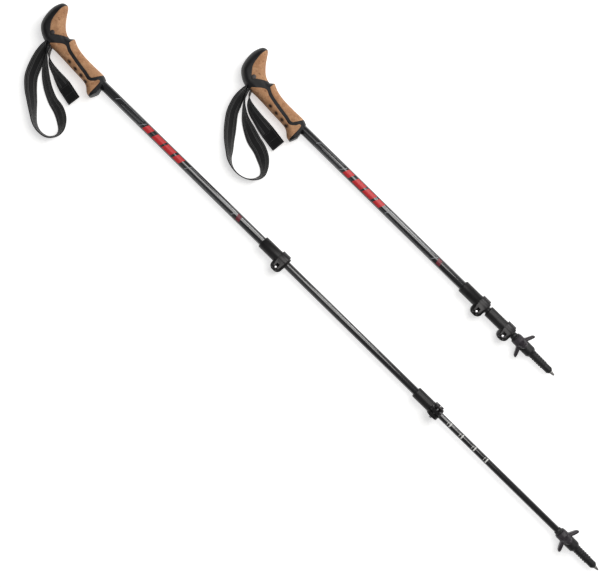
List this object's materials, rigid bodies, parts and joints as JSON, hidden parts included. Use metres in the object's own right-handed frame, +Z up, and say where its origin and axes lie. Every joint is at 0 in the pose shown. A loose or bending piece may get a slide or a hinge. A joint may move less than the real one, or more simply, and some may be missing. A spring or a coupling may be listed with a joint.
{
  "type": "trekking poles",
  "caption": "Pair of telescopic trekking poles with cork horn grips, wrist straps, lever clamps, baskets and carbide tips; one drawn out, one collapsed.",
  "frame": {"origin": "on the floor that the poles lie on, under the middle of the pair's box", "axes": "+X along both poles from grip to tip, +Y to the side the grips' horns point to, +Z up from the floor"},
  "size_m": [1.1346, 0.3174, 0.0388],
  "materials": {
    "rubber_black": "soft-touch matte rubber with a slight sheen",
    "cork": "fine-grained agglomerate cork, satin",
    "steel": "bright zinc-plated steel",
    "webbing": "woven polyester webbing, charcoal with grey lines",
    "webbing_tab": "doubled sewn webbing end, black",
    "tube_black": "gloss black lacquer on aluminium with printed graphics",
    "clamp_plastic": "satin glass-filled nylon",
    "lever_plastic": "satin glass-filled nylon",
    "plug_plastic": "plain nylon",
    "tip_plastic": "satin hard plastic",
    "basket_plastic": "satin flexible plastic",
    "carbide": "sintered carbide, dull metallic"
  },
  "bodies": {
    "left_grip": {"left_grip_cap": "rubber_black", "left_grip_head_cork": "cork", "left_grip_front_cork": "cork", "left_grip_finger_cork": "cork", "left_grip_base_plate": "rubber_black", "left_grip_core": "rubber_black", "left_strap_pin": "steel", "left_upper_tube": "tube_black", "left_upper_clamp": "clamp_plastic", "left_upper_barrel_nut": "steel"},
    "left_strap": {"left_strap_loop": "webbing", "left_strap_tail": "webbing", "left_strap_tail_tab": "webbing_tab"},
    "left_upper_lever": {"left_upper_lever": "lever_plastic"},
    "left_upper_screw": {"left_upper_tension_screw": "steel"},
    "left_middle_plug": {"left_middle_plug": "plug_plastic"},
    "left_middle": {"left_middle_tube": "tube_black", "left_lower_clamp": "clamp_plastic", "left_lower_barrel_nut": "steel"},
    "left_lower_lever": {"left_lower_lever": "lever_plastic"},
    "left_lower_screw": {"left_lower_tension_screw": "steel"},
    "left_lower_plug": {"left_lower_plug": "plug_plastic"},
    "left_lower": {"left_lower_tube": "tube_black", "left_tip_body": "tip_plastic", "left_carbide_tip": "carbide"},
    "left_basket": {"left_basket": "basket_plastic"},
    "right_grip": {"right_grip_cap": "rubber_black", "right_grip_head_cork": "cork", "right_grip_front_cork": "cork", "right_grip_finger_cork": "cork", "right_grip_base_plate": "rubber_black", "right_grip_core": "rubber_black", "right_strap_pin": "steel", "right_upper_tube": "tube_black", "right_upper_clamp": "clamp_plastic", "right_upper_barrel_nut": "steel"},
    "right_strap": {"right_strap_loop": "webbing", "right_strap_tail": "webbing", "right_strap_tail_tab": "webbing_tab"},
    "right_upper_lever": {"right_upper_lever": "lever_plastic"},
    "right_upper_screw": {"right_upper_tension_screw": "steel"},
    "right_middle_plug": {"right_middle_plug": "plug_plastic"},
    "right_middle": {"right_middle_tube": "tube_black", "right_lower_clamp": "clamp_plastic", "right_lower_barrel_nut": "steel"},
    "right_lower_lever": {"right_lower_lever": "lever_plastic"},
    "right_lower_screw": {"right_lower_tension_screw": "steel"},
    "right_lower_plug": {"right_lower_plug": "plug_plastic"},
    "right_lower": {"right_lower_tube": "tube_black", "right_tip_body": "tip_plastic", "right_carbide_tip": "carbide"},
    "right_basket": {"right_basket": "basket_plastic"}
  },
  "joints": [
    {"name": "left_strap_swing", "type": "hinge", "parent": "left_grip", "child": "left_strap", "pos_m": [-0.5397, -0.04101, 0.0194], "axis": [0, 0, 1], "range_deg": [-12, 3]},
    {"name": "left_upper_lever_open", "type": "hinge", "parent": "left_grip", "child": "left_upper_lever", "pos_m": [-0.07395, -0.05781, 0.03005], "axis": [1, 0, 0], "range_deg": [0, 150]},
    {"name": "left_upper_screw_turn", "type": "hinge", "parent": "left_grip", "child": "left_upper_screw", "pos_m": [-0.07395, -0.05781, 0.0194], "axis": [0, 0, 1], "continuous": true},
    {"name": "left_middle_slide", "type": "slide", "parent": "left_grip", "child": "left_middle_plug", "axis": [1, 0, 0], "range_m": [-0.259, 0.051]},
    {"name": "left_middle_turn", "type": "hinge", "parent": "left_middle_plug", "child": "left_middle", "pos_m": [-0.0862, -0.04451, 0.0194], "axis": [1, 0, 0], "continuous": true},
    {"name": "left_lower_lever_open", "type": "hinge", "parent": "left_middle", "child": "left_lower_lever", "pos_m": [0.23705, -0.03741, 0.03404], "axis": [1, 0, 0], "range_deg": [0, 150]},
    {"name": "left_lower_screw_turn", "type": "hinge", "parent": "left_middle", "child": "left_lower_screw", "pos_m": [0.23705, -0.04769, 0.03128], "axis": [0, 0.9659, 0.2588], "continuous": true},
    {"name": "left_lower_slide", "type": "slide", "parent": "left_middle", "child": "left_lower_plug", "axis": [1, 0, 0], "range_m": [-0.236, 0.064]},
    {"name": "left_lower_turn", "type": "hinge", "parent": "left_lower_plug", "child": "left_lower", "pos_m": [0.2248, -0.04451, 0.0194], "axis": [1, 0, 0], "continuous": true},
    {"name": "left_basket_turn", "type": "hinge", "parent": "left_lower", "child": "left_basket", "pos_m": [0.4936, -0.04451, 0.0194], "axis": [1, 0, 0], "continuous": true},
    {"name": "right_strap_swing", "type": "hinge", "parent": "right_grip", "child": "right_strap", "pos_m": [-0.2877, 0.11599, 0.0194], "axis": [0, 0, 1], "range_deg": [-12, 3]},
    {"name": "right_upper_lever_open", "type": "hinge", "parent": "right_grip", "child": "right_upper_lever", "pos_m": [0.17805, 0.09919, 0.03005], "axis": [1, 0, 0], "range_deg": [0, 150]},
    {"name": "right_upper_screw_turn", "type": "hinge", "parent": "right_grip", "child": "right_upper_screw", "pos_m": [0.17805, 0.09919, 0.0194], "axis": [0, 0, 1], "continuous": true},
    {"name": "right_middle_slide", "type": "slide", "parent": "right_grip", "child": "right_middle_plug", "axis": [1, 0, 0], "range_m": [0, 0.31]},
    {"name": "right_middle_turn", "type": "hinge", "parent": "right_middle_plug", "child": "right_middle", "pos_m": [0.1658, 0.11249, 0.0194], "axis": [1, 0, 0], "continuous": true},
    {"name": "right_lower_lever_open", "type": "hinge", "parent": "right_middle", "child": "right_lower_lever", "pos_m": [0.23005, 0.10019, 0.03005], "axis": [1, 0, 0], "range_deg": [0, 150]},
    {"name": "right_lower_screw_turn", "type": "hinge", "parent": "right_middle", "child": "right_lower_screw", "pos_m": [0.23005, 0.10019, 0.0194], "axis": [0, 0, 1], "continuous": true},
    {"name": "right_lower_slide", "type": "slide", "parent": "right_middle", "child": "right_lower_plug", "axis": [1, 0, 0], "range_m": [0, 0.3]},
    {"name": "right_lower_turn", "type": "hinge", "parent": "right_lower_plug", "child": "right_lower", "pos_m": [0.2178, 0.11249, 0.0194], "axis": [1, 0, 0], "continuous": true},
    {"name": "right_basket_turn", "type": "hinge", "parent": "right_lower", "child": "right_basket", "pos_m": [0.2506, 0.11249, 0.0194], "axis": [1, 0, 0], "continuous": true},
    {"name": "right_pole_lift", "type": "slide", "parent": "left_grip", "child": "right_grip", "axis": [0, 0, 1], "range_m": [0, 0.3]}
  ]
}
